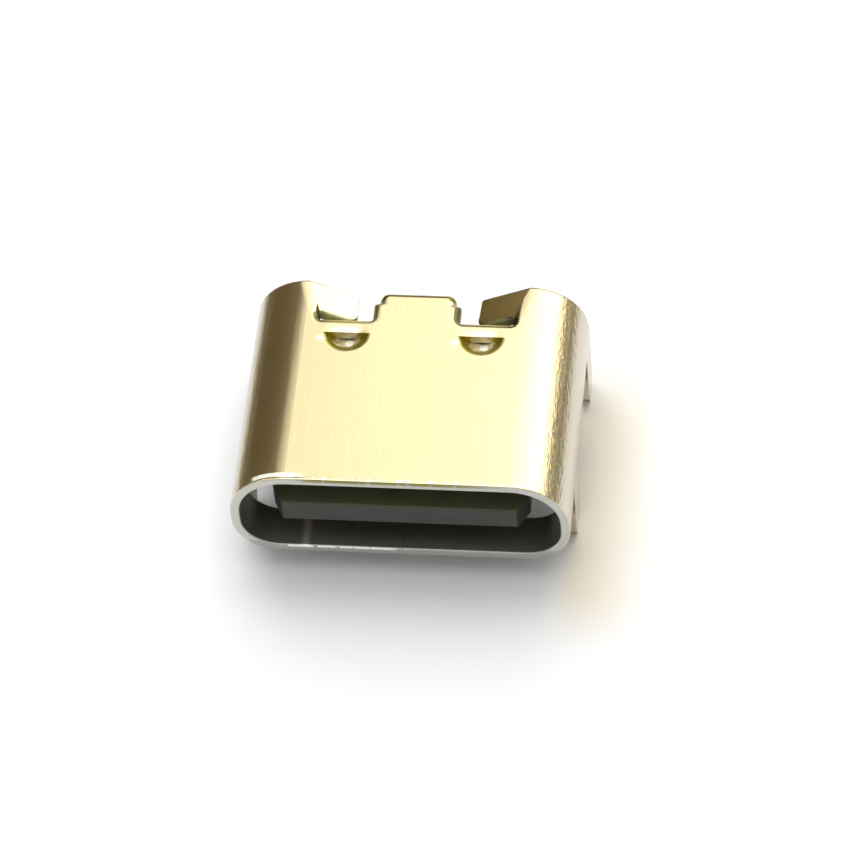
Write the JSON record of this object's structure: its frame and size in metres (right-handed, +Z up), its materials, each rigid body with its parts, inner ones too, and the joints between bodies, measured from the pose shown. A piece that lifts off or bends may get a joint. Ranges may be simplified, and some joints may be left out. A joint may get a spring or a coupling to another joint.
{
  "type": "usb-c socket",
  "caption": "Board-mounted USB-C socket: rolled steel shell with board legs, rear tab and wings, black tongue with contact rows, and flat solder tails.",
  "frame": {"origin": "on the board plane, under the middle of the shell", "axes": "+X across the socket to the right as seen from the mouth, +Y from the mouth to the solder tails, +Z up off the board"},
  "size_m": [0.0088, 0.0071, 0.004],
  "materials": {
    "shell_plate": "bright nickel plate, warm tint, fine drawing marks",
    "black_moulding": "fine moulded satin",
    "plate_steel": "rolled satin",
    "contact_metal": "thin gold plate over copper alloy"
  },
  "bodies": {
    "root": {"shell": "shell_plate", "housing": "black_moulding", "upper_carrier": "black_moulding", "lower_carrier": "black_moulding", "mid_plate": "plate_steel", "contact_a1": "contact_metal", "contact_a4": "contact_metal", "contact_a5": "contact_metal", "contact_a6": "contact_metal", "contact_a7": "contact_metal", "contact_a8": "contact_metal", "contact_a9": "contact_metal", "contact_a12": "contact_metal", "contact_b1": "contact_metal", "contact_b4": "contact_metal", "contact_b5": "contact_metal", "contact_b6": "contact_metal", "contact_b7": "contact_metal", "contact_b8": "contact_metal", "contact_b9": "contact_metal", "contact_b12": "contact_metal"}
  },
  "joints": []
}
